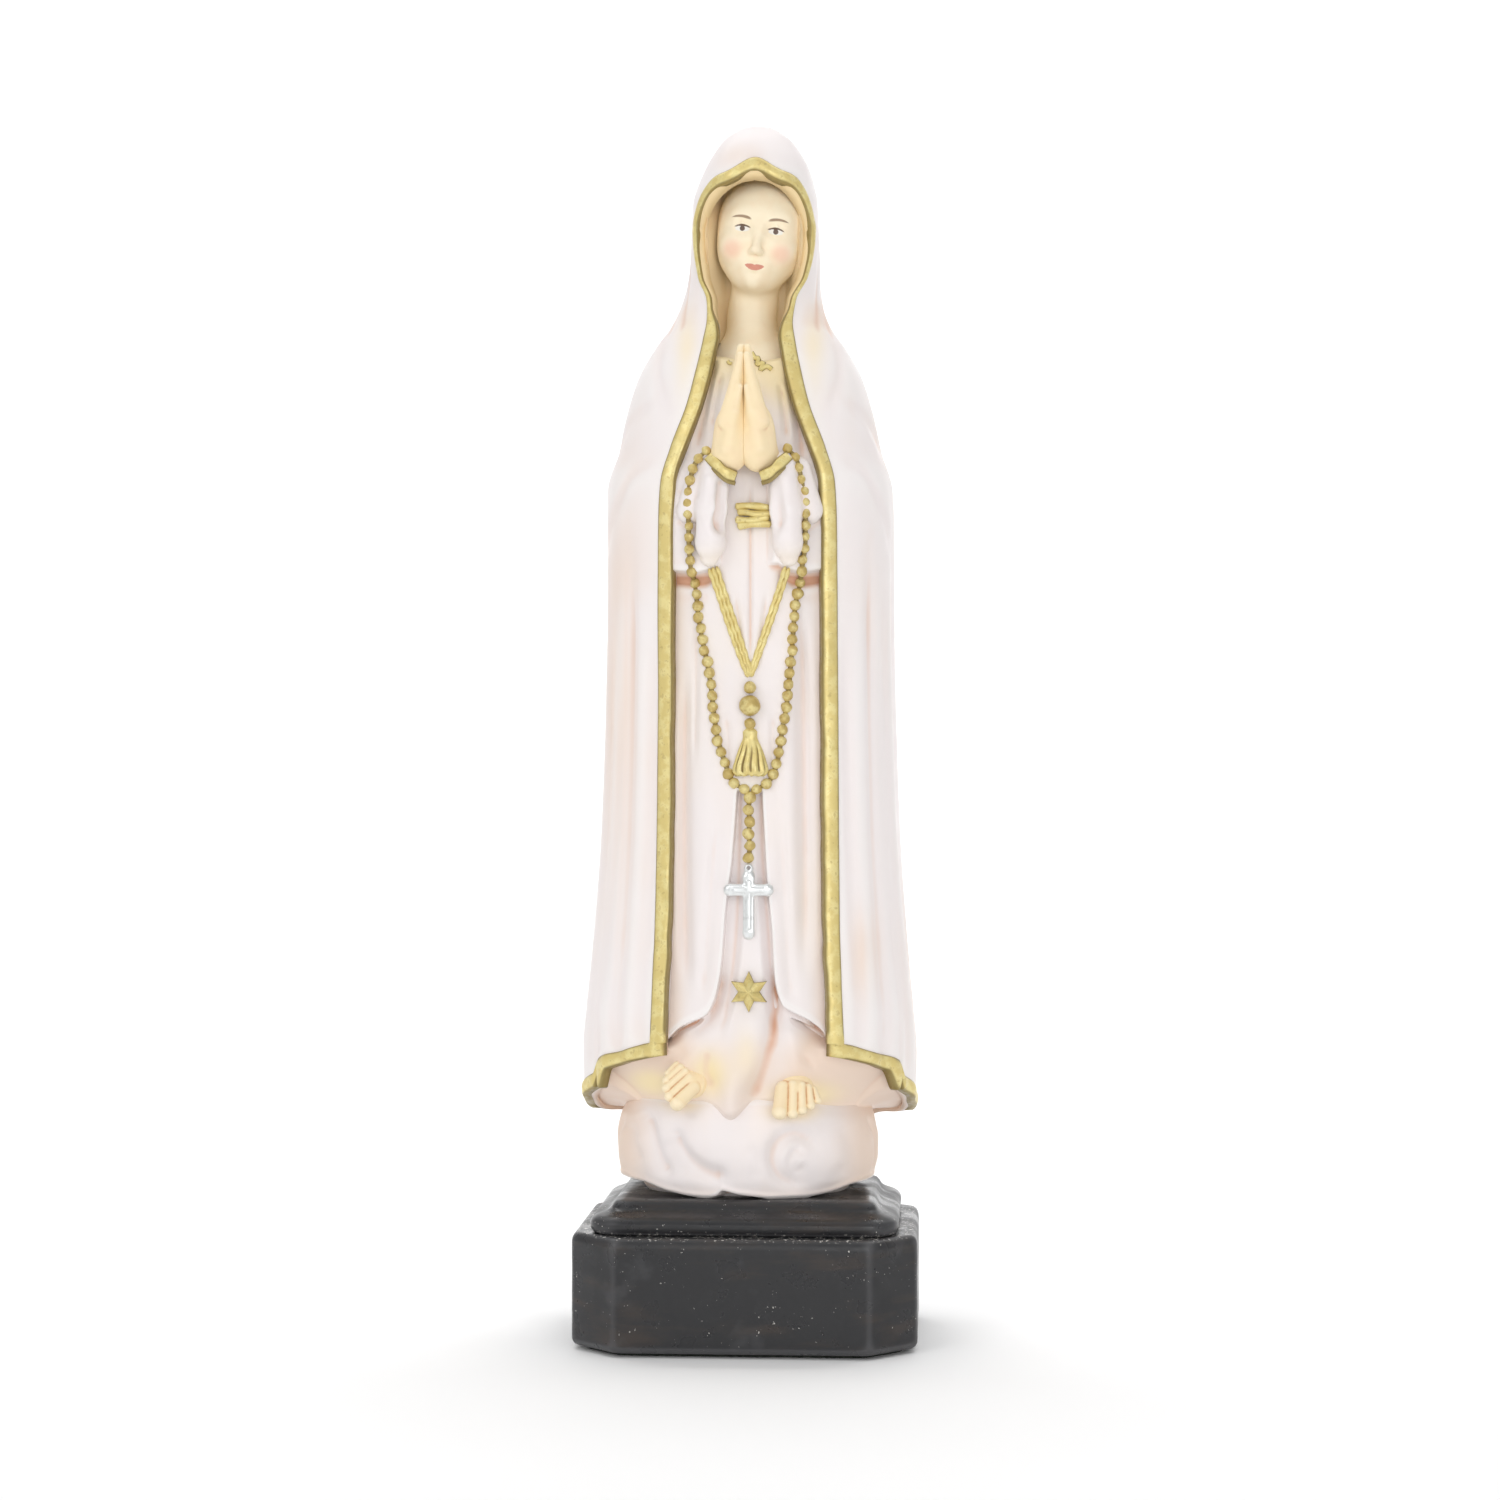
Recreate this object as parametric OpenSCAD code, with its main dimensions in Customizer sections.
/* [Plinth] */
// Width of the plinth, left to right
plinth_w = 56.6; // [50:0.2:70]
// Depth of the plinth, front to back
plinth_d = 48; // [42:0.5:60]
// Height of the plinth block
plinth_h = 18.6; // [12:0.2:30]
// Size of the flat cut off each upright corner
corner_cut = 7.5; // [3:0.5:10]
// Height of the stepped cap on the block
cap_h = 5.4; // [4:0.2:9]
// Width of the cap's lower band
cap_w = 50.6; // [46.6:0.2:56]
// Depth of the cap's lower band
cap_d = 42.4; // [38:0.2:48]
// Thickness of the felt under the block
felt_t = 0.6; // [0.4:0.1:1.5]
// Distance from the block's edge to the felt's edge
felt_inset = 2.5; // [1:0.5:5]

/* [Fixing rod] */
// Diameter of the rod that ties plinth, cloud and figure together
rod_d = 4; // [3:0.5:6]
// Length of the rod
rod_len = 62; // [52:1:110]
// Radial clearance of the rod in its bores, filled with glue
rod_clearance = 0.15; // [0.05:0.05:0.3]

/* [Cloud] */
// Height of the cloud cushion
cloud_h = 16.8; // [12:0.2:18]
// Width of the cloud
cloud_w = 45.4; // [37:0.2:48]
// Depth of the cloud
cloud_d = 36; // [32:0.5:38]

/* [Figure] */
// Height of the figure, from the plinth cap to the crown
figure_h = 178.4; // [140:1:215]
// Width of the mantle at its hem
mantle_w = 56; // [50:0.2:68]
// Depth of the mantle at its hem
mantle_d = 40; // [36:1:48]
// Thickness of the mantle's cloth
mantle_t = 2.2; // [1.6:0.02:3]
// Depth of the mantle's folds
fold_depth = 0.7; // [0:0.1:1.2]
// Width of the gold bands on the mantle's edges
trim_w = 2.4; // [1.6:0.2:3]
// Glue gap between pieces that seat on each other
seat_gap = 0.06; // [0.04:0.02:0.2]

/* [Ornaments] */
// Diameter of a rosary bead
bead_d = 1.9; // [1.4:0.02:2]
// Spacing of the rosary beads
bead_pitch = 2.05; // [2:0.05:2.6]
// Height of the silver cross
cross_h = 10.6; // [8:0.2:13]
// Width of the star from point to point
star_d = 6.4; // [4:0.2:8]
// Diameter of one strand of the neck cord
strand_d = 0.8; // [0.5:0.1:1.2]

/* [Hidden] */

// Colours
WHITE = "seashell";
PEACH = "peachpuff";
SKIN = "moccasin";
GOLD = "darkgoldenrod";
BLACK = "dimgray";

// The profile tables are drawn for this figure and stretched to the sizes above.
DRAWN_H = 178.4;
DRAWN_W = 56;
DRAWN_D = 40;
sx = mantle_w / DRAWN_W;
sy = mantle_d / DRAWN_D;
sz = figure_h / DRAWN_H;
figure_z = felt_t + plinth_h + cap_h;
cloud_top = figure_z + cloud_h;
small = 0.02;

// The mantle at heights above the plinth cap: half width, back, front and half opening.
MANTLE = [
    [10, 27.6, 19.6, 18.6, 15.9], [18, 28.0, 20.0, 18.8, 15.6], [26, 27.3, 19.6, 18.2, 15.3],
    [38, 26.4, 19.0, 17.4, 15.0], [60, 25.2, 18.3, 16.8, 14.8], [80, 24.6, 18.0, 16.6, 14.7],
    [98, 24.3, 17.7, 16.6, 14.5], [111, 24.1, 17.5, 16.7, 14.4], [118, 23.6, 17.3, 16.6, 14.0],
    [124, 22.2, 16.8, 15.9, 12.5], [130, 20.6, 16.0, 14.7, 10.9], [136, 18.6, 15.0, 13.2, 9.5],
    [141, 15.8, 13.7, 11.5, 8.5], [144.5, 13.4, 12.7, 10.4, 8.2], [148, 12.0, 12.0, 9.9, 9.1],
    [152, 11.3, 12.0, 9.9, 10.3], [157, 11.0, 12.4, 10.2, 10.6], [162, 10.9, 12.6, 10.4, 10.4],
    [165.5, 10.7, 12.5, 10.4, 9.4], [168, 10.2, 12.1, 10.2, 7.4], [170, 9.6, 11.6, 9.9, 4.8],
    [171, 9.2, 11.3, 9.7, 0], [173, 8.1, 10.4, 8.9, 0], [175, 6.6, 8.8, 7.4, 0],
    [176.6, 4.6, 6.6, 5.2, 0], [177.6, 2.6, 4.2, 3.0, 0]
];
CROWN = 178.4;
PEAK_ROW = 21;
MANTLE_COLUMNS = 36;
BOXINESS = 0.86;
HEM_LIFT = 16.5;
HEM_LOW = 10;
HEM_BLEND = 50;
FOLDS = 11;

// Heights on the figure, above the plinth cap, for the drawn figure.
GOWN_LOW = 29;
GOWN_ROWS = [29, 38, 60, 80, 98, 111, 118, 124, 130, 136, 141, 142];
SLOT_TOP = 66;
HEAD_TOP = 167.4;
LINING_Y = 1.2;
HAND_X = -0.8;

function clamp01(t) = max(0, min(1, t));
function smooth(t) = let (c = clamp01(t)) c * c * (3 - 2 * c);
function column(table, c) = [for (r = table) [r[0], r[c]]];
function fz(z) = figure_z + z * sz;
function bump(x, z, w, h) = exp(-(x * x) / (w * w) - (z * z) / (h * h));
function signed_pow(v, p) = sign(v) * pow(abs(v), p);

HALF_W = column(MANTLE, 1);
BACK = column(MANTLE, 2);
FRONT = column(MANTLE, 3);
OPENING = column(MANTLE, 4);
function half_w(z) = lookup(z, HALF_W) * sx;
function middle_y(z) = (lookup(z, BACK) - lookup(z, FRONT)) / 2 * sy;
function half_d(z) = (lookup(z, BACK) + lookup(z, FRONT)) / 2 * sy;

// Angle of the mantle's front edge, measured round from the back.
function edge_angle(z) =
    180 - asin(pow(clamp01(lookup(z, OPENING) * sx / half_w(z)), 1 / BOXINESS));
function hem_rise(z, a) =
    HEM_LIFT * (1 - cos(a)) / 2 * clamp01(1 - (z - HEM_LOW) / HEM_BLEND);
function fold(z, a) = fold_depth * (cos(a * FOLDS) - 1) / 2 * clamp01((CROWN - z) / 30);

// A point on the mantle: height z, angle a from the back, depth in under the outer face.
// Points inside the cloth leave the folds out and sink under the crown.
function mantle_point(z, a, depth) =
    let (
        out = (depth > 0 ? 0 : fold(z, a)) - depth,
        sink = max(0, depth) * 0.8 * smooth((z - 150) / 22)
    )
    [
        -(half_w(z) + out) * signed_pow(sin(a), BOXINESS),
        middle_y(z) + (half_d(z) + out) * signed_pow(cos(a), BOXINESS),
        fz(z + hem_rise(z, a)) - sink
    ];
function column_angle(z, j) = edge_angle(z) * (2 * j / MANTLE_COLUMNS - 1);
function mantle_row(z, depth) =
    [for (j = [0:MANTLE_COLUMNS]) mantle_point(z, column_angle(z, j), depth)];

// Depth of the gown's front face at x and height z above the cap.
function gown_bulge(x, z) =
    let (u = clamp01(1 - pow(x / (lookup(z, OPENING) * sx - trim_w - 0.4), 2)))
    0.8 * u * u * smooth((z - 20) / 20) * smooth((142 - z) / 10);
function inner_w(z) = half_w(z) - mantle_t - 2 * seat_gap;
function inner_d(z) = half_d(z) - mantle_t - 2 * seat_gap;
function gown_front(x, z) =
    let (s = pow(clamp01(abs(x) / inner_w(z)), 1 / BOXINESS))
    middle_y(z) - inner_d(z) * pow(sqrt(max(0, 1 - s * s)), BOXINESS) - gown_bulge(x, z);

// A closed skin over rings of points, each ring counter-clockwise seen from above.
module skin(rings) {
    n = len(rings[0]);
    m = len(rings);
    low = m * n;
    high = low + 1;
    function centre(ring) = [for (p = ring) 1] * ring / n;
    polyhedron(
        points = concat([for (r = rings) each r], [centre(rings[0]), centre(rings[m - 1])]),
        faces = [
            for (j = [0:m - 2], i = [0:n - 1]) let (k = (i + 1) % n)
                each [[j * n + i, (j + 1) * n + i, (j + 1) * n + k],
                      [j * n + i, (j + 1) * n + k, j * n + k]],
            for (i = [0:n - 1]) [low, i, (i + 1) % n],
            for (i = [0:n - 1]) [high, (m - 1) * n + (i + 1) % n, (m - 1) * n + i]
        ]
    );
}

// A slab between two grids of points, front and back, closed all round.
module slab(front, back) {
    m = len(front) - 1;
    n = len(front[0]) - 1;
    w = n + 1;
    b = (m + 1) * w;
    function f(i, j) = i * w + j;
    function k(i, j) = b + i * w + j;
    polyhedron(
        points = concat([for (r = front) each r], [for (r = back) each r]),
        faces = [
            for (i = [0:m - 1], j = [0:n - 1])
                each [[f(i, j), f(i + 1, j), f(i + 1, j + 1)],
                      [f(i, j), f(i + 1, j + 1), f(i, j + 1)],
                      [k(i, j), k(i + 1, j + 1), k(i + 1, j)],
                      [k(i, j), k(i, j + 1), k(i + 1, j + 1)]],
            for (i = [0:m - 1])
                each [[f(i + 1, 0), f(i, 0), k(i, 0)], [f(i + 1, 0), k(i, 0), k(i + 1, 0)],
                      [f(i, n), f(i + 1, n), k(i + 1, n)], [f(i, n), k(i + 1, n), k(i, n)]],
            for (j = [0:n - 1])
                each [[f(0, j), f(0, j + 1), k(0, j + 1)], [f(0, j), k(0, j + 1), k(0, j)],
                      [f(m, j + 1), f(m, j), k(m, j)], [f(m, j + 1), k(m, j), k(m, j + 1)]]
        ]
    );
}

// A rectangle with its corners cut off at 45 degrees, standing up from z.
module cut_block(w, d, cut, h, z) {
    x = w / 2;
    y = d / 2;
    translate([0, 0, z])
        linear_extrude(h)
            polygon([
                [x - cut, -y], [x, -y + cut], [x, y - cut], [x - cut, y],
                [cut - x, y], [-x, y - cut], [-x, cut - y], [cut - x, -y]
            ]);
}

module rod_bore(low, high) {
    translate([0, 0, low - small])
        cylinder(d = rod_d + 2 * rod_clearance, h = high - low + 2 * small, $fn = 48);
}

rod_low = felt_t + plinth_h * 0.4;
rod_high = rod_low + rod_len;

module felt_pad() {
    color("black")
        cut_block(plinth_w - 2 * felt_inset, plinth_d - 2 * felt_inset,
                  corner_cut - felt_inset * 0.6, felt_t, 0);
}

module plinth() {
    color(BLACK)
        difference() {
            cut_block(plinth_w, plinth_d, corner_cut, plinth_h, felt_t);
            rod_bore(rod_low, felt_t + plinth_h);
        }
}

// The cap: an upright lower band, a cove and a smaller flat seat.
module plinth_cap() {
    z = felt_t + plinth_h;
    band = cap_h * 0.55;
    lip = cap_h * 0.2;
    inset = (cap_h - band) * 1.1;
    color(BLACK)
        difference() {
            union() {
                cut_block(cap_w, cap_d, 2.5, band, z);
                cut_block(cap_w - inset, cap_d - inset, 2.5, cap_h - lip, z);
                cut_block(cap_w - 2 * inset, cap_d - 2 * inset, 2.5, cap_h, z);
            }
            rod_bore(z, z + cap_h);
        }
}

module fixing_rod() {
    color("silver")
        translate([0, 0, rod_low])
            cylinder(d = rod_d, h = rod_len, $fn = 48);
}

// The cloud at heights as a share of its own: share of the full width and depth.
CLOUD = [[0, 0.9], [0.08, 0.97], [0.3, 1], [0.55, 0.99], [0.78, 0.96], [0.93, 0.89], [1, 0.82]];
CLOUD_POINTS = 40;
function puff(a) = 1 - 0.02 * (1 - cos(a * 5 + 40)) - 0.015 * (1 - cos(a * 9));
// The mantle hangs down behind the cloud, which stays clear of it.
cloud_back = lookup(HEM_LOW, BACK) * sy - mantle_t - 3 * seat_gap;
// The cloud bulges a little more on the figure's right.
CLOUD_SHIFT = -0.9;
module cloud() {
    color(WHITE)
        difference() {
            skin([
                for (r = CLOUD) [
                    for (i = [0:CLOUD_POINTS - 1]) let (a = i * 360 / CLOUD_POINTS)
                        [
                            CLOUD_SHIFT + cloud_w / 2 * r[1] * puff(a) * cos(a),
                            min(cloud_back, cloud_d / 2 * r[1] * puff(a) * sin(a)),
                            figure_z + r[0] * cloud_h
                        ]
                ]
            ]);
            rod_bore(figure_z, cloud_top);
        }
}

// The slot in the gown's front, open at the hem, narrowed by gap on each side.
function slot_outline(gap) = [
    for (p = [[-11, GOWN_LOW - 1], [-6.5, 33], [-4.6, 42], [-3, 56], [-1.6, SLOT_TOP]])
        [p[0] * sx + gap, fz(p[1])],
    for (p = [[1.4, SLOT_TOP], [2.8, 56], [4.4, 42], [6.4, 33], [11.4, GOWN_LOW - 1]])
        [p[0] * sx - gap, fz(p[1])]
];
slot_y = gown_front(0, SLOT_TOP) + 2.6;
module slot(gap, front) {
    translate([0, slot_y - gap, 0])
        rotate([90, 0, 0])
            linear_extrude(front)
                polygon(slot_outline(gap));
}

ridge_y = slot_y - seat_gap - 1.6;

// The under gown: a skirt that spreads on the cloud, with a ridge in the gown's slot.
SKIRT_SPREAD_W = 0.36;
SKIRT_SPREAD_D = 0.32;
skirt_low = cloud_top;
skirt_high = fz(GOWN_LOW) - seat_gap;
skirt_w = cloud_w * SKIRT_SPREAD_W;
skirt_d = cloud_d * SKIRT_SPREAD_D;
function skirt_front(x) = -skirt_d * sqrt(1 - pow(x / skirt_w, 2));
GOWN_POINTS = 40;
function skirt_ring(t) =
    let (
        w = skirt_w + (inner_w(GOWN_LOW) - 1.2 - skirt_w) * pow(t, 1.5),
        d = skirt_d + (inner_d(GOWN_LOW) - 1.2 - skirt_d) * pow(t, 1.5)
    )
    [
        for (i = [0:GOWN_POINTS - 1]) let (
            a = i * 360 / GOWN_POINTS,
            ripple = 1 - 0.03 * (1 - cos(a * 10)) * (1 - t)
        )
            [
                w * ripple * cos(a), middle_y(GOWN_LOW) * t + d * ripple * sin(a),
                skirt_low + (skirt_high - skirt_low) * t
            ]
    ];
module under_gown() {
    color(WHITE)
        difference() {
            union() {
                skin([for (t = [0:0.25:1]) skirt_ring(t)]);
                intersection() {
                    slot(seat_gap, 1.6);
                    translate([-mantle_w, -mantle_d, skirt_high - 1])
                        cube([2 * mantle_w, 2 * mantle_d, fz(SLOT_TOP)]);
                }
            }
            rod_bore(skirt_low, skirt_high);
        }
}

function gown_row(z) = let (slope = 1 - 0.35 * smooth((z - 136) / 6)) [
    for (i = [0:GOWN_POINTS - 1]) let (
        a = i * 360 / GOWN_POINTS,
        x = inner_w(z) * signed_pow(cos(a), BOXINESS),
        y = middle_y(z) + inner_d(z) * signed_pow(sin(a), BOXINESS)
    )
        [x, sin(a) < 0 ? (y - gown_bulge(x, z)) * slope : y, fz(z)]
];
module gown() {
    color(WHITE)
        difference() {
            skin([for (z = GOWN_ROWS) gown_row(z)]);
            slot(0, mantle_d);
            rod_bore(fz(GOWN_LOW) - 1, rod_high);
        }
}

// The mantle: one shell from the hem to the crown, open in front up to the hood's peak.
module mantle() {
    n = MANTLE_COLUMNS;
    m = len(MANTLE) - 1;
    w = n + 1;
    inside = (m + 1) * w;
    crown_out = 2 * inside;
    crown_in = crown_out + 1;
    outer = [for (r = MANTLE) each mantle_row(r[0], 0)];
    inner = [for (r = MANTLE) each mantle_row(r[0], mantle_t)];
    function o(i, j) = i * w + (i >= PEAK_ROW && j == n ? 0 : j);
    function q(i, j) = inside + o(i, j);
    color(WHITE)
        polyhedron(
            points = concat(outer, inner, [
                [0, middle_y(177), fz(CROWN)],
                [0, middle_y(177), fz(CROWN - mantle_t)]
            ]),
            faces = [
                for (i = [0:m - 1], j = [0:n - 1])
                    each [[o(i, j), o(i + 1, j), o(i + 1, j + 1)],
                          [o(i, j), o(i + 1, j + 1), o(i, j + 1)],
                          [q(i, j), q(i + 1, j + 1), q(i + 1, j)],
                          [q(i, j), q(i, j + 1), q(i + 1, j + 1)]],
                for (i = [0:PEAK_ROW - 1])
                    each [[o(i + 1, 0), o(i, 0), q(i, 0)], [o(i + 1, 0), q(i, 0), q(i + 1, 0)],
                          [o(i, n), o(i + 1, n), q(i + 1, n)], [o(i, n), q(i + 1, n), q(i, n)]],
                for (j = [0:n - 1])
                    each [[o(0, j), o(0, j + 1), q(0, j + 1)], [o(0, j), q(0, j + 1), q(0, j)],
                          [crown_out, o(m, j + 1), o(m, j)], [crown_in, q(m, j), q(m, j + 1)]]
            ]
        );
}

// The lining: fills the hood behind the head, flat in front.
LINING_ROWS = [142.7, 145, 148, 152, 157, 162, 165.5, 168, 171, 173, 175];
module veil_lining() {
    color(PEACH)
        skin([
            for (z = LINING_ROWS) [
                for (a = [0:10:350]) let (p = mantle_point(z, a - 180, mantle_t + 4 * seat_gap))
                    [p[0], max(p[1], LINING_Y * sy), p[2]]
            ]
        ]);
}

// The band on the mantle's front edges and round the hood's opening.
function unit(v) = v / norm(v);
function edge_station(i) =
    let (
        right = i <= PEAK_ROW,
        z = MANTLE[right ? i : 2 * PEAK_ROW - i][0],
        a = edge_angle(z) * (right ? 1 : -1)
    )
    [mantle_point(z, a, 0), mantle_point(z, a, mantle_t)];
module edge_trim() {
    last = 2 * PEAK_ROW;
    raised = 0.3;
    color(GOLD)
        skin([
            for (i = [0:last]) let (
                s = edge_station(i),
                along = edge_station(min(last, i + 1))[0] - edge_station(max(0, i - 1))[0],
                out = unit(s[0] - s[1]),
                in_front = unit(cross(along, out)),
                near = in_front * seat_gap,
                far = in_front * trim_w
            )
                [s[0] + near + out * raised, s[1] + near, s[1] + far, s[0] + far + out * raised]
        ]);
}

// The band along the hem, from the front edge round to the side.
HEM_COLUMNS = 13;
HEM_BAND = 3;
module hem_trim(side) {
    z_low = MANTLE[0][0];
    z_high = MANTLE[1][0];
    share = HEM_BAND / (z_high - z_low);
    columns = side > 0 ? [0:HEM_COLUMNS] : [MANTLE_COLUMNS - HEM_COLUMNS:MANTLE_COLUMNS];
    function low(j, out) = mantle_point(z_low, column_angle(z_low, j), -out);
    function high(j, out) = mantle_point(z_high, column_angle(z_high, j), -out);
    function grid(out) = [
        for (t = [0, share]) [for (j = columns) low(j, out) * (1 - t) + high(j, out) * t]
    ];
    color(GOLD)
        slab(grid(0.6), grid(seat_gap));
}
module right_hem_trim() {
    hem_trim(-1);
}
module left_hem_trim() {
    hem_trim(1);
}

// The head and neck: half width and front depth at heights above the plinth cap.
HEAD = [
    [142.7, 4.7, 4.6], [145, 4.3, 4.4], [147.4, 4.3, 4.8], [148.4, 4.2, 6.4], [149.4, 4.5, 7.7],
    [151, 5.1, 8.1], [153, 5.9, 8.3], [155.5, 6.5, 8.5], [158, 6.8, 8.6], [160.5, 6.9, 8.7],
    [163, 6.7, 8.5], [165, 6.0, 7.8], [166.6, 4.8, 6.4], [167.4, 3.2, 4.6]
];
HEAD_STEP = 0.95;
EYE_X = 2.5;
EYE_Z = 158.2;
NOSE_Z = 154.6;
MOUTH_Z = 152.2;
function features(x, z) =
    0.9 * bump(x, z - NOSE_Z, 0.9, 1.2) + 0.6 * bump(x, z - 156.6, 0.8, 2.2)
    + 0.3 * bump(abs(x) - 2.2, z - 160, 2, 0.9) - 0.6 * bump(abs(x) - EYE_X, z - EYE_Z, 1.4, 1)
    + 0.4 * bump(abs(x) - EYE_X, z - EYE_Z, 0.9, 0.5) + 0.4 * bump(x, z - MOUTH_Z, 1.4, 0.6)
    + 0.4 * bump(x, z - 150, 1.5, 0.9) + 0.3 * bump(abs(x) - 3.6, z - 155, 1.6, 1.8);
function head_ring(z) =
    let (
        w = lookup(z, column(HEAD, 1)),
        front = lookup(z, column(HEAD, 2)),
        back = LINING_Y * sy - seat_gap
    )
    [
        for (a = [180:10:360]) let (x = w * cos(a))
            [x * sx, (-0.4 + (front - 0.4 + features(x, z)) * sin(a)) * sy, fz(z)],
        [w * 0.92 * sx, back, fz(z)],
        [-w * 0.92 * sx, back, fz(z)]
    ];
module head() {
    first = HEAD[0][0];
    steps = floor((HEAD_TOP - first) / HEAD_STEP);
    color(SKIN)
        skin([for (i = [0:steps]) head_ring(first + (HEAD_TOP - first) * i / steps)]);
}

// The hands, palm to palm: height above the cap, thickness and half depth.
HAND = [
    [120.4, 4.2, 3.0], [123.6, 4.7, 3.3], [127, 4.4, 3.3], [131, 3.5, 3.0], [135, 2.6, 2.4],
    [138, 1.7, 1.7], [139.4, 0.8, 0.9]
];
HAND_STAND_OFF = 1;
// side is -1 on the figure's right and 1 on its left; grown widens the section all round.
function hand_ring(r, side, z, grown) =
    let (
        x = HAND_X * sx + side * seat_gap,
        depth = r[2],
        y = gown_front(HAND_X * sx, r[0]) - HAND_STAND_OFF - depth
    )
    [
        for (a = [-90:15:90]) let (b = side > 0 ? a : a + 180)
            [x + (r[1] + grown) * cos(b), y + (depth + grown) * sin(b), z]
    ];
module hand(side) {
    color(SKIN)
        skin([for (r = HAND) hand_ring(r, side, fz(r[0]), 0)]);
}
module right_hand() {
    hand(-1);
}
module left_hand() {
    hand(1);
}

// The cuffs: gold bands round the wrists, on top of the sleeves.
CUFF_H = 2;
CUFF_T = 0.7;
module cuff(side) {
    low = fz(HAND[0][0]);
    color(GOLD)
        difference() {
            skin([for (z = [low, low + CUFF_H]) hand_ring(HAND[0], side, z, CUFF_T)]);
            translate([0, 0, -small])
                skin([
                    for (z = [low, low + CUFF_H + 2 * small])
                        hand_ring(HAND[1], side, z, seat_gap)
                ]);
        }
}
module right_cuff() {
    cuff(-1);
}
module left_cuff() {
    cuff(1);
}

// A raised shape on the gown's front: rows of height, low x, high x and thickness.
RELIEF_RIM = 0.25;
RELIEF_GAP = 0.12;
module gown_relief(rows, columns) {
    function x(r, j) = (r[1] + (r[2] - r[1]) * j / columns) * sx;
    function crown(j) = pow(max(0, 1 - pow(2 * j / columns - 1, 2)), 0.6);
    function y(r, j, out) = gown_front(x(r, j), r[0]) - RELIEF_GAP - out;
    slab(
        [for (r = rows) [
            for (j = [0:columns]) [x(r, j), y(r, j, RELIEF_RIM + r[3] * crown(j)), fz(r[0])]
        ]],
        [for (r = rows) [for (j = [0:columns]) [x(r, j), y(r, j, 0), fz(r[0])]]]
    );
}

// The hanging sleeves, in x from the figure's middle outwards.
SLEEVE = [
    [103, 5.2, 7.2, 0.8], [105, 4.6, 7.8, 2.0], [108, 3.9, 8.2, 2.9], [112, 3.4, 8.2, 3.8],
    [116, 3.0, 7.8, 5.0], [120.2, 2.2, 6.4, 6.2]
];
SLEEVE_COLUMNS = 10;
module sleeve(side) {
    rows = [
        for (r = SLEEVE)
            side > 0 ? [r[0], r[1], r[2], r[3]] : [r[0], -r[2], -r[1], r[3]]
    ];
    color(WHITE)
        gown_relief(rows, SLEEVE_COLUMNS);
}
module right_sleeve() {
    sleeve(-1);
}
module left_sleeve() {
    sleeve(1);
}

// The zigzag band at the gown's neckline.
module collar_trim() {
    step = 0.8;
    band = 0.5;
    function z(x) = 136.6 + 0.04 * x * x + 0.4 * (x / step % 2 == 0 ? 1 : -1);
    xs = [-3.2:step:3.2];
    function grid(out) = [
        for (up = [-band, band]) [
            for (x = xs) [x, gown_front(x, z(x)) - out, fz(z(x) + up)]
        ]
    ];
    color(GOLD)
        slab(grid(0.5), grid(RELIEF_GAP));
}

// A round bead seated flat on a face at depth y.
BEAD_PROUD = 0.38;
module bead(x, y, z, d) {
    translate([x, y - seat_gap, z])
        difference() {
            translate([0, -d * BEAD_PROUD, 0])
                sphere(d = d, $fn = 24);
            translate([-d, 0, -d])
                cube(2 * d);
        }
}
// The foremost depth of the gown's front within reach of x.
function seat_y(x, z, reach) =
    min(gown_front(x - reach, z), gown_front(x, z), gown_front(x + reach, z));

// The sash's knot: short coils, one above the other.
SASH_Z = 111.6;
SASH_COILS = 4;
SASH_COIL_D = 1;
module sash_knot() {
    color(GOLD)
        for (i = [0:SASH_COILS - 1]) {
            up = (i - (SASH_COILS - 1) / 2) * SASH_COIL_D * 0.92;
            half = 2.3 - 0.15 * (i % 2);
            translate([0.2 - half, gown_front(half, SASH_Z) - 1.1, fz(SASH_Z) + up])
                rotate([0, 90, 0])
                    cylinder(d = SASH_COIL_D, h = 2 * half, $fn = 24);
        }
}

// The neck cords: straight strands from under the sleeves to the middle.
CORD_LOW = [0, 85.2];
CORD_HIGH = [6.1, 101.8];
module neck_cord(side, strands) {
    run = CORD_HIGH - CORD_LOW;
    across = [run[1], -run[0]] / norm(run);
    function end(p, i) = let (
        q = p + across * (i + 0.6) * strand_d * 0.96,
        x = side * q[0]
    )
        [x, gown_front(x, q[1]) - strand_d / 2 - 0.35, fz(q[1])];
    color(GOLD)
        for (i = [0:strands - 1]) {
            low = end(CORD_LOW, i);
            way = end(CORD_HIGH, i) - low;
            translate(low)
                rotate([0, acos(way[2] / norm(way)), atan2(way[1], way[0])])
                    cylinder(d = strand_d, h = norm(way), $fn = 24);
        }
}
module right_cord() {
    neck_cord(-1, 3);
}
module left_cord() {
    neck_cord(1, 2);
}

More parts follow.
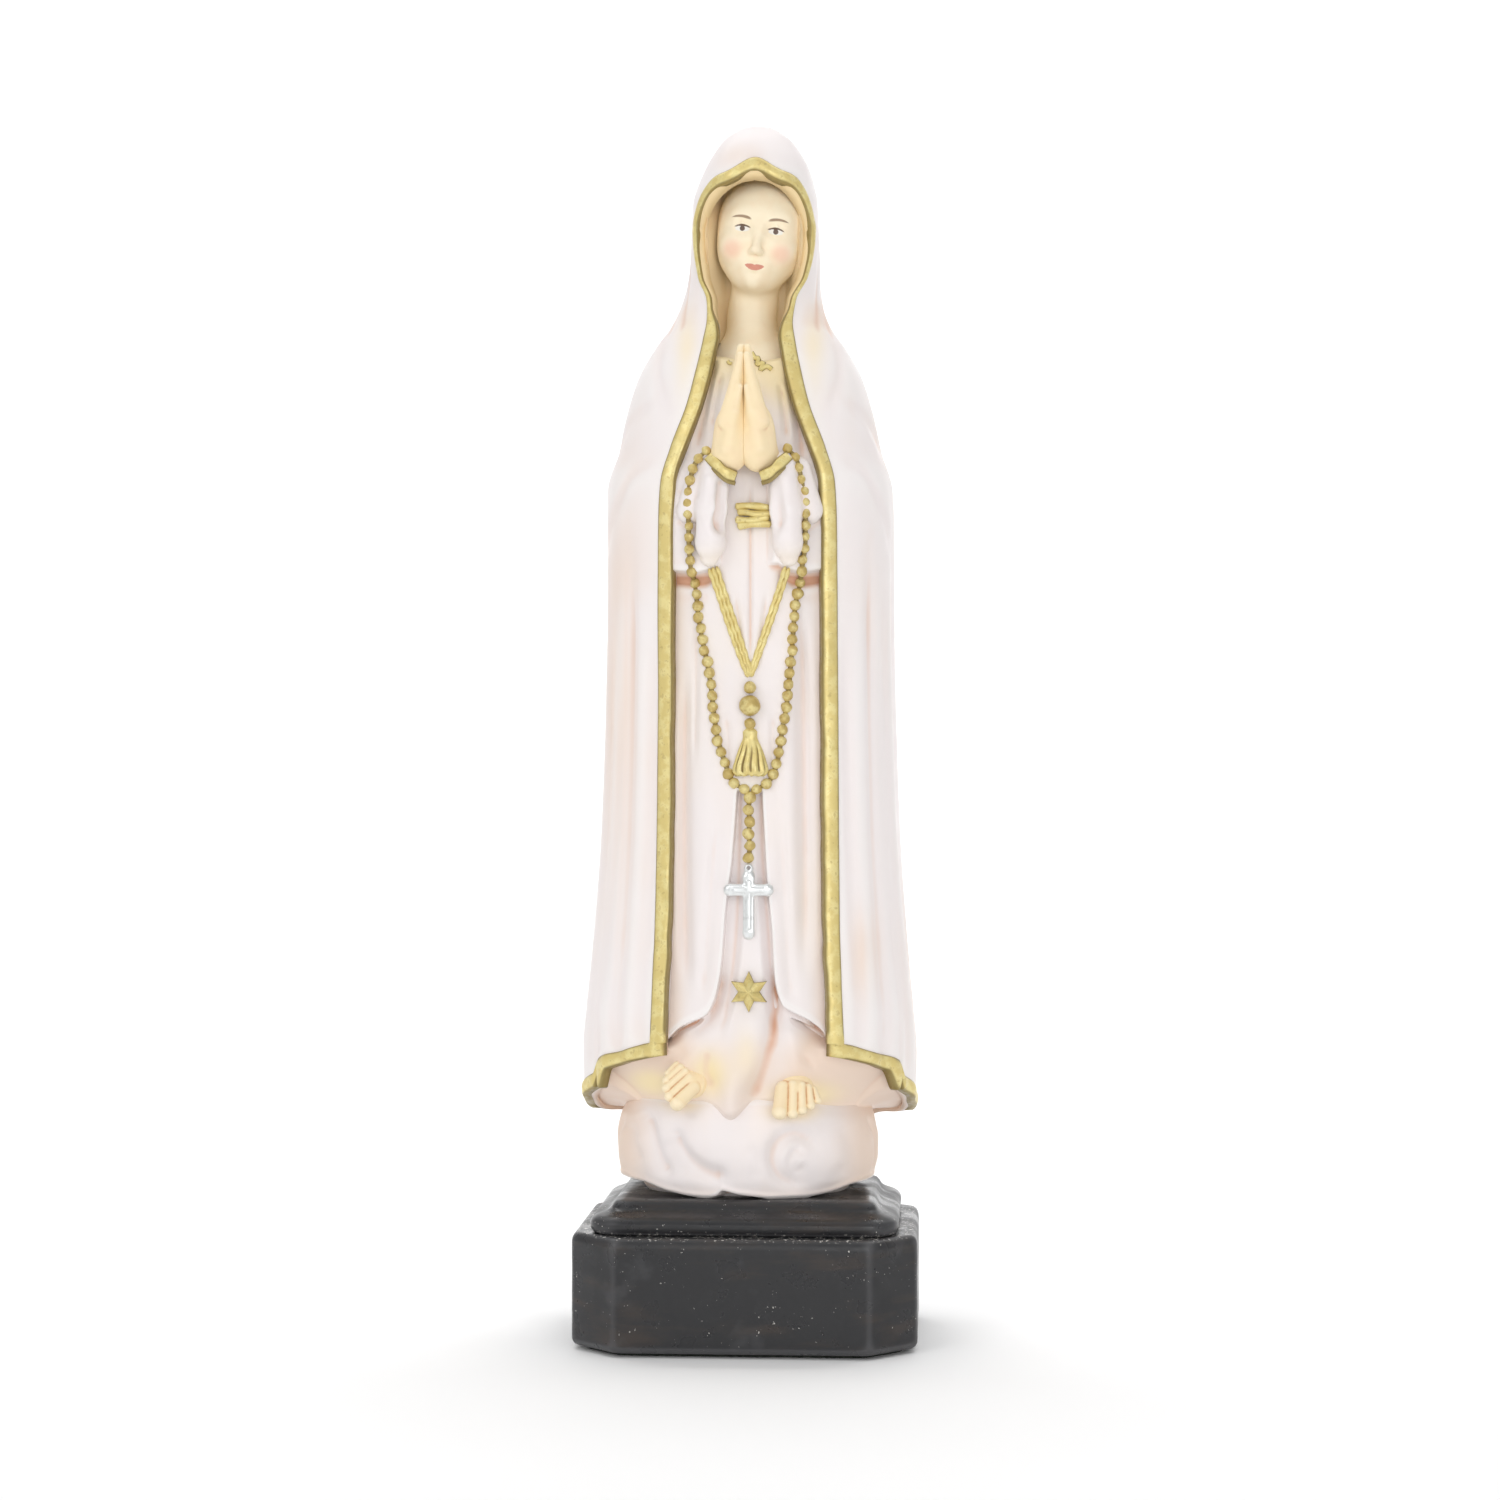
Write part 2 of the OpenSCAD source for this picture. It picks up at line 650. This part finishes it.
// The cord's end: a ball between two small beads, and the tassel under them.
BALL_Z = 80.6;
BALL_D = 3.2;
SMALL_BEAD_D = 1.8;
TASSEL_TOP = 76.4;
TASSEL_H = 6.8;
module cord_beads() {
    reach = (BALL_D + SMALL_BEAD_D) / 2 + seat_gap;
    y = gown_front(0, BALL_Z - reach) - seat_gap;
    color(GOLD) {
        bead(0, y, fz(BALL_Z), BALL_D);
        for (side = [-1, 1])
            bead(0, y, fz(BALL_Z) + side * reach, SMALL_BEAD_D);
    }
}
module tassel() {
    low = TASSEL_TOP - TASSEL_H;
    y = gown_front(0, low) - seat_gap;
    color(GOLD)
        translate([0, min(y, gown_front(0, TASSEL_TOP)), fz(TASSEL_TOP) - TASSEL_H])
            difference() {
                rotate_extrude($fn = 32)
                    polygon([[0, 0], [2.5, 0], [2.6, 0.6], [1.3, 5.2], [1.1, 6.8], [0, 6.8]]);
                translate([-5, 0, -1])
                    cube(10);
            }
}

// The rosary's two strands, as x and height above the cap, from the wrist to the join.
RIGHT_STRAND = [
    [-7.3, 122.2], [-9.5, 118.4], [-9.9, 114], [-9.9, 108], [-9.2, 100], [-7.8, 91],
    [-6.3, 83.5], [-5.4, 75.5], [-4.2, 71.6], [-2.9, 68.6], [-1.2, 67.4]
];
LEFT_STRAND = [
    [6.6, 122.4], [8.8, 119.4], [9.8, 115], [9.9, 109], [9.2, 102], [7.6, 96], [6.8, 89],
    [6.0, 81.2], [4.7, 73.1], [3.2, 69], [1.6, 67.3]
];
function ran(points, i) = i == 0 ? 0 : ran(points, i - 1) + norm(points[i] - points[i - 1]);
module strand(points) {
    placed = [for (p = points) [p[0] * sx, p[1] * sz]];
    last = len(placed) - 1;
    run = [for (i = [0:last]) ran(placed, i)];
    xs = [for (i = [0:last]) [run[i], placed[i][0]]];
    zs = [for (i = [0:last]) [run[i], placed[i][1] / sz]];
    count = floor(run[last] / bead_pitch);
    pitch = run[last] / count;
    color(GOLD)
        for (i = [0:count]) {
            x = lookup(i * pitch, xs);
            z = lookup(i * pitch, zs);
            bead(x, seat_y(x, z, bead_d * 0.35), fz(z), bead_d);
        }
}
module right_rosary() {
    strand(RIGHT_STRAND);
}
module left_rosary() {
    strand(LEFT_STRAND);
}

// The short strand under the join, down to the cross.
PENDANT_TOP = 64.8;
cross_top = fz(54.4);
module rosary_pendant() {
    top = fz(PENDANT_TOP);
    count = floor((top - cross_top - bead_d / 2) / bead_pitch);
    color(GOLD)
        for (i = [0:count]) {
            bead(-0.1, ridge_y, top - i * bead_pitch, bead_d);
        }
}

CROSS_BAR = 1.8;
CROSS_T = 1.1;
module cross() {
    arm = cross_h * 0.28;
    top = cross_top - bead_d;
    color("silver")
        translate([-0.1, ridge_y - seat_gap, 0])
            rotate([90, 0, 0])
                linear_extrude(CROSS_T)
                    union() {
                        translate([-CROSS_BAR / 2, top - cross_h])
                            square([CROSS_BAR, cross_h]);
                        translate([-arm, top - cross_h * 0.34])
                            square([2 * arm, CROSS_BAR]);
                    }
}

STAR_Z = 34.6;
STAR_T = 1.2;
module star() {
    color(GOLD)
        translate([0, ridge_y - seat_gap, fz(STAR_Z)])
            rotate([90, 0, 0])
                linear_extrude(STAR_T)
                    polygon([
                        for (i = [0:11]) let (r = star_d / 2 * (i % 2 == 0 ? 1 : 0.55))
                            [r * sin(i * 30), r * cos(i * 30)]
                    ]);
}

// The feet, on the cloud in front of the under gown.
FOOT_H = 4.2;
FOOT_LEN = 6.4;
FOOT_W = 6.6;
module foot(x) {
    half = FOOT_W / 2;
    back = min(skirt_front(x - half), skirt_front(x + half)) - 0.3;
    color(SKIN)
        skin([
            for (t = [0, 0.3, 0.6, 0.85, 1]) let (
                w = half * (1 - 0.35 * t * t),
                far = FOOT_LEN * (1 - 0.55 * pow(t, 1.4))
            )
                [
                    for (a = [180:12:360]) let (toe = 1 - 0.05 * (1 - cos(a * 10)) * (1 - t))
                        [
                            x + w * cos(a), back + far * toe * sin(a),
                            cloud_top + seat_gap + FOOT_H * t
                        ]
                ]
        ]);
}
module right_foot() {
    foot(-cloud_w * 0.255);
}
module left_foot() {
    foot(cloud_w * 0.165);
}

felt_pad();
plinth();
plinth_cap();
fixing_rod();
cloud();
right_foot();
left_foot();
under_gown();
gown();
mantle();
veil_lining();
edge_trim();
right_hem_trim();
left_hem_trim();
head();
right_hand();
left_hand();
right_sleeve();
left_sleeve();
right_cuff();
left_cuff();
collar_trim();
sash_knot();
right_cord();
left_cord();
cord_beads();
tassel();
right_rosary();
left_rosary();
rosary_pendant();
cross();
star();
